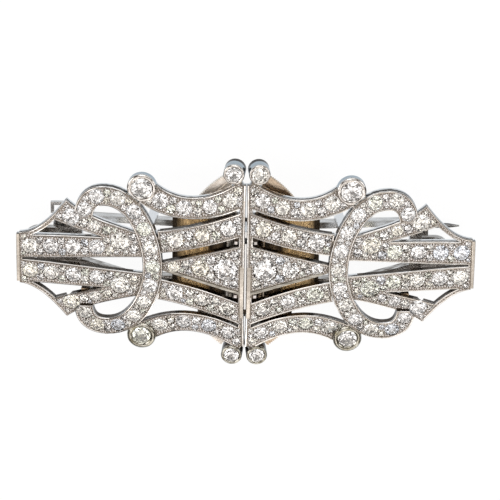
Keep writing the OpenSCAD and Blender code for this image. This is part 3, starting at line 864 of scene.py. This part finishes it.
class Clip:
    """The pieces of one clip, set out in its own axes in millimetres."""

    def __init__(self, name, side, seed):
        self.name = name
        self.side = side
        self.body = name + "_clip"
        self.place = clip_matrix(side)
        self.layout_draw = np.random.default_rng(seed)
        self.piece_draw = random.Random(seed)
        own = [node for node in frame["nodes"] if node.startswith(name + "_")]
        gem_nodes = [node for node in own if "stone" in node or node.endswith("pave")]
        self.stones = {node: stones_in(node, side) for node in gem_nodes}
        self.every_stone = [stone for group in self.stones.values() for stone in group]
        self.work = local_mesh(self.body, side)

    def build(self):
        self.lay_out()
        self.make_setting()
        self.make_rims()
        self.make_bars()
        end_studs(self.place).make(self.name + "_studs", self.body, [BEAD, DARK_WALL], "platinum")
        self.make_lips()
        self.make_grains()
        self.make_stones()
        self.work.free()

    def lay_out(self):
        """Small stones wherever there is room for them, then grains in what is left."""
        field = Field(self.work, self.every_stone)
        self.small_stones = []
        for height, wall in STONE_LEVELS:
            clear = field.room(height, RIM_W, wall)
            for u, v, r in field.pack(clear, STONE_SIZES, STONE_APART, self.layout_draw):
                self.small_stones.append((on_front(u, v, height), front_normal(v), r))
        for centre, _, radius in self.small_stones:
            field.keep_clear(centre, radius, STONE_CLEAR)
        self.grains = []
        for height, wall in GRAIN_LEVELS:
            clear = field.room(height, GRAIN_RIM_W, wall, GRAIN_OVERLAP)
            for u, v, r in field.pack(clear, GRAIN_SIZES, GRAIN_APART, self.layout_draw):
                self.grains.append((on_front(u, v, height), front_normal(v), r))

    def make_setting(self):
        """Metal of the clip with seats for the small stones cut in."""
        name = self.name + "_setting"
        mesh = bpy.data.meshes.new(name)
        self.work.to_mesh(mesh)
        uncut = new_object(name, mesh)
        cutter = seat_cutter(self.small_stones)
        modifier = uncut.modifiers.new("seats", "BOOLEAN")
        modifier.operation = "DIFFERENCE"
        modifier.solver = "MANIFOLD"
        modifier.object = cutter
        evaluated = uncut.evaluated_get(bpy.context.evaluated_depsgraph_get())
        cut = bpy.data.meshes.new_from_object(evaluated)
        bpy.data.objects.remove(uncut)
        bpy.data.objects.remove(cutter)
        cut.name = name
        cut.materials.clear()
        for material in (WALL, GROUND, BEZEL_WALL, DARK_WALL, WRAP, SHADED_WRAP):
            cut.materials.append(material)
        for face in cut.polygons:
            face.use_smooth = False
            face.material_index = setting_slot(face)
        depth = cut.attributes.new("depth", "FLOAT", "POINT")
        for vert, value in zip(cut.vertices, depth.data):
            below = front_w(vert.co.y) - vert.co.z
            value.value = max(0, below + LOOP_RISE if below < -LOOP_RISE / 2 else below)
        cut.transform(self.place)
        if self.side < 0:
            cut.flip_normals()
        setting = new_object(name, cut)
        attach(setting, self.body)
        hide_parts(self.body)

    def make_rims(self):
        rims = Shapes()
        for points, inwards, closed in rim_chains(self.work, self.every_stone):
            if len(points) > 2 or (points[0] - points[-1]).length > SHORTEST_RIM:
                rims.add(bar_along(*tidy_line(points, inwards), RIM_PROFILE, closed), self.place)
        rims.make(self.name + "_rims", self.body, [POLISHED], "platinum")

    def make_bars(self):
        bars = Shapes()
        for high, low, edge, slot in STRIPS:
            bars.add(plain_bar((STRIP_U, edge), high, low), self.place, slot)
        bars.add(plain_bar(END_BAR_U, END_BAR_HALF, -END_BAR_HALF), self.place, BEIGE_BAR)
        bars.add(triangle_bar(), self.place, GREY_BAR)
        bars.make(self.name + "_plain_bars", self.body, [POLISHED, PLAIN, EDGE], "platinum")

    def make_lips(self):
        lips = Shapes()
        for (u, v, radius, stone), grips in zip(BEZELS, LIPS):
            for k, (cover, rise, slot) in zip((1, -1), grips):
                axis = bezel_normal(k * v)
                centre = on_front(u, k * v) + axis * BEZEL_RISE
                lip = bezel_lip(radius, cover * stone, stone + SEAT_GAP - LIP_COVER, rise)
                lips.add(lip, self.place @ on_axis(centre, axis, 0, 1), slot, True)
        lips.make(self.name + "_bezel_lips", self.body, [LIP, SHADED_OLIVE_LIP], "platinum")

    def make_grains(self):
        grains = Shapes()
        dome = grain()
        for centre, axis, radius in self.grains:
            turn = self.piece_draw.uniform(0, 6)
            grains.add(dome, self.place @ on_axis(centre, axis, turn, radius), 0, True)
        grains.make(self.name + "_grains", self.body, [BEAD], "platinum")

    def set_in(self, shapes, shape, stone):
        """Adds a stone, leaning and turned a little, with a tint drawn by the odds of its half."""
        centre, axis, radius = stone
        draw = self.piece_draw
        lean = Vector((draw.gauss(0, STONE_LEAN), draw.gauss(0, STONE_LEAN), 0))
        way = (axis + lean).normalized()
        odds = UPPER_ODDS if centre.y > 0 else LOWER_ODDS
        slot = draw.choices(range(len(DIAMONDS)), odds)[0]
        shapes.add(shape, self.place @ on_axis(centre, way, draw.uniform(0, math.pi), radius), slot)

    def make_stones(self):
        old_cut = brilliant()
        for node, group in self.stones.items():
            gems = Shapes()
            for stone in group:
                self.set_in(gems, old_cut, stone)
            obj = gems.make(node + "_cut", self.body, DIAMONDS, "diamond")
            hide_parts(node)
        small_cut = single_cut()
        fine = Shapes()
        for centre, axis, radius in self.small_stones:
            self.set_in(fine, small_cut, (centre + axis * SMALL_STONE_RISE, axis, radius))
        fine.make(self.name + "_fine_stones", self.body, DIAMONDS, "diamond")


# The frame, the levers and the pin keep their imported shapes
def dress(node, *materials):
    mesh = frame["nodes"][node].data
    mesh.materials.clear()
    for material in materials:
        mesh.materials.append(material)
    return mesh


# Parts of the frame, in metres: the centre plate to this X, the right tab from this X, the rail from this Y
PLATE_END = 1.01 * CENTRE_PLATE_U * MM
TAB_START = 24.5 * MM
UPPER_RAIL_START = 4.0 * MM
FRAME_SLOT, PLATE_SLOT, PAINTED_LIGHT_SLOT = range(3)


def dress_frame():
    mesh = dress("brooch_frame", FRAME_METAL, PLATE_GOLD, WRAP)
    for face in mesh.polygons:
        reach = max(abs(mesh.vertices[i].co.x) for i in face.vertices)
        # The right tab's upward faces and the upper rail take the bright wrap metal instead of the frame
        # metal: painted light
        right_tab = face.center.x > TAB_START and face.normal.z > 0.5
        upper_rail = face.center.y > UPPER_RAIL_START
        outside = PAINTED_LIGHT_SLOT if right_tab or upper_rail else FRAME_SLOT
        face.material_index = PLATE_SLOT if reach < PLATE_END else outside


# The frame's polished ridge, which stands in the slit between the clips: lowest y, highest y, slot. Slot 1, at
# the lower end, is near-black metal: painted shade
RIDGE_PARTS = [(-6.8, -5.78, 1), (-5.75, 4.0, 0), (4.9, 5.75, 0)]
RIDGE_HALF = 0.12
RIDGE_FOOT = FRONT_Z - 3.65
RIDGE_TOP = FRONT_Z - 0.12


def make_ridge():
    ridge = Shapes()
    for start, end, slot in RIDGE_PARTS:
        part = box((-RIDGE_HALF, start, RIDGE_FOOT), (RIDGE_HALF, end, RIDGE_TOP))
        ridge.add(part, Matrix.Scale(MM, 4), slot)
    ridge.make("frame_ridge", "frame", [RIDGE, DARK_WALL], "frame_metal")


# Floor and light
FLOOR_HALF = 3.0
FLOOR_DROP = 0.00002


def make_floor():
    """A white floor that the metal sees a little darker and bluer than the camera does."""
    s = FLOOR_HALF
    mesh = bpy.data.meshes.new("floor")
    mesh.from_pydata([(-s, -s, 0), (s, -s, 0), (s, s, 0), (-s, s, 0)], [], [(0, 1, 2, 3)])
    floor = new_object("floor", mesh)
    floor.location.z = -FLOOR_DROP
    material, n = new_material("floor")
    glow = n.add("ShaderNodeEmission", Color=(1, 1, 1, 1), Strength=0.92)
    paper = n.add("ShaderNodeBsdfDiffuse", Color=(0.14, 0.14, 0.14, 1))
    seen = n.add("ShaderNodeAddShader")
    n.tree.links.new(glow.outputs["Emission"], seen.inputs[0])
    n.tree.links.new(paper.outputs["BSDF"], seen.inputs[1])
    mirrored = n.add("ShaderNodeEmission", Color=(0.87, 0.91, 0.95, 1), Strength=0.8)
    pick = n.add("ShaderNodeMixShader", Fac=n.add("ShaderNodeLightPath").outputs["Is Camera Ray"])
    n.tree.links.new(mirrored.outputs["Emission"], pick.inputs[1])
    n.tree.links.new(seen.outputs["Shader"], pick.inputs[2])
    n.show(pick.outputs["Shader"])
    mesh.materials.append(material)


# Softboxes of the world: direction, half-angle in degrees, soft edge in degrees, strength and colour
SOFTBOXES = [
    ((0.0, -0.42, 0.9), 26, 10, 0.95, (1.0, 0.97, 0.95)),
    ((0.0, 0.9, 0.5), 24, 8, 1.4, (1.0, 1.0, 1.0)),
    ((-0.8, 0.1, 0.6), 14, 5, 2.0, (1.0, 0.99, 0.98)),
    ((0.8, 0.2, 0.55), 14, 5, 2.0, (0.97, 0.98, 1.0)),
    ((0.3, -0.9, 0.35), 16, 6, 1.1, (1.0, 0.97, 0.90)),
    ((-0.35, 0.55, 0.75), 5, 1.5, 3.0, (1.0, 1.0, 1.0)),
    ((0.42, 0.45, 0.8), 4, 1.5, 3.0, (1.0, 1.0, 1.0)),
    ((-0.5, -0.35, 0.8), 4, 1.5, 2.8, (1.0, 0.98, 0.95)),
    ((0.55, -0.4, 0.72), 4, 1.5, 2.8, (1.0, 0.98, 0.95)),
    ((0.05, -0.75, 0.65), 4, 1.5, 2.8, (1.0, 1.0, 1.0)),
    ((0.0, 0.42, 0.9), 6, 4, 1.6, (1.0, 0.98, 0.95)),
]
FILL = (0.12, 0.104, 0.094)
# The sky's brightness, the share by which it varies either way, and the noise that it varies with
SKY_LEVEL = 0.96
DAPPLE = 0.75
DAPPLE_SCALE = 6.0
DAPPLE_SPAN = (0.36, 0.64)


def make_world():
    world = bpy.data.worlds.new("studio")
    world.use_nodes = True
    bpy.context.scene.world = world
    n = Nodes(world.node_tree)
    way = n.add("ShaderNodeTexCoord").outputs["Generated"]
    total = n.add("ShaderNodeRGB").outputs["Color"]
    total.default_value = (*FILL, 1)
    for direction, half, soft, strength, colour in SOFTBOXES:
        dot = n.add("ShaderNodeVectorMath")
        dot.operation = "DOT_PRODUCT"
        n.tree.links.new(way, dot.inputs[0])
        dot.inputs[1].default_value = Vector(direction).normalized()
        edge = n.add("ShaderNodeMapRange", Value=dot.outputs["Value"])
        edge.interpolation_type = "SMOOTHSTEP"
        n.set(edge, From_Min=math.cos(math.radians(half + soft)), From_Max=math.cos(math.radians(half)))
        n.set(edge, To_Min=0.0, To_Max=strength)
        add = n.add("ShaderNodeMix")
        add.data_type = "RGBA"
        add.blend_type = "ADD"
        add.clamp_factor = False
        add.clamp_result = False
        n.tree.links.new(edge.outputs["Result"], add.inputs[0])
        n.tree.links.new(total, add.inputs[6])
        add.inputs[7].default_value = (*colour, 1)
        total = add.outputs[2]
    clouds = n.noise(DAPPLE_SCALE, way)
    dapple = n.range(clouds, SKY_LEVEL * (1 - DAPPLE), SKY_LEVEL * (1 + DAPPLE), *DAPPLE_SPAN)
    background = n.add("ShaderNodeBackground", Color=total, Strength=dapple)
    n.show(background.outputs["Background"], "ShaderNodeOutputWorld")


def set_render():
    scene = bpy.context.scene
    scene.view_settings.view_transform = "Standard"
    scene.cycles.max_bounces = 24
    scene.cycles.glossy_bounces = 8
    scene.cycles.transmission_bounces = 20
    scene.cycles.sample_clamp_indirect = 6.0
    scene.cycles.use_denoising = True


make_camera()
for name, side, seed in CLIPS:
    Clip(name, side, seed).build()
# The right lever keeps the lever gold, the left takes its lighter copy: painted light
for name, finish in (("right", GOLD), ("left", LIT_LEVER_GOLD)):
    dress(name + "_lever", finish)
    dress(name + "_lever_pin", finish)
dress_frame()
make_ridge()
dress("pin_rivet", GOLD)
dress("pin_stem", PIN_METAL)
make_floor()
make_world()
set_render()
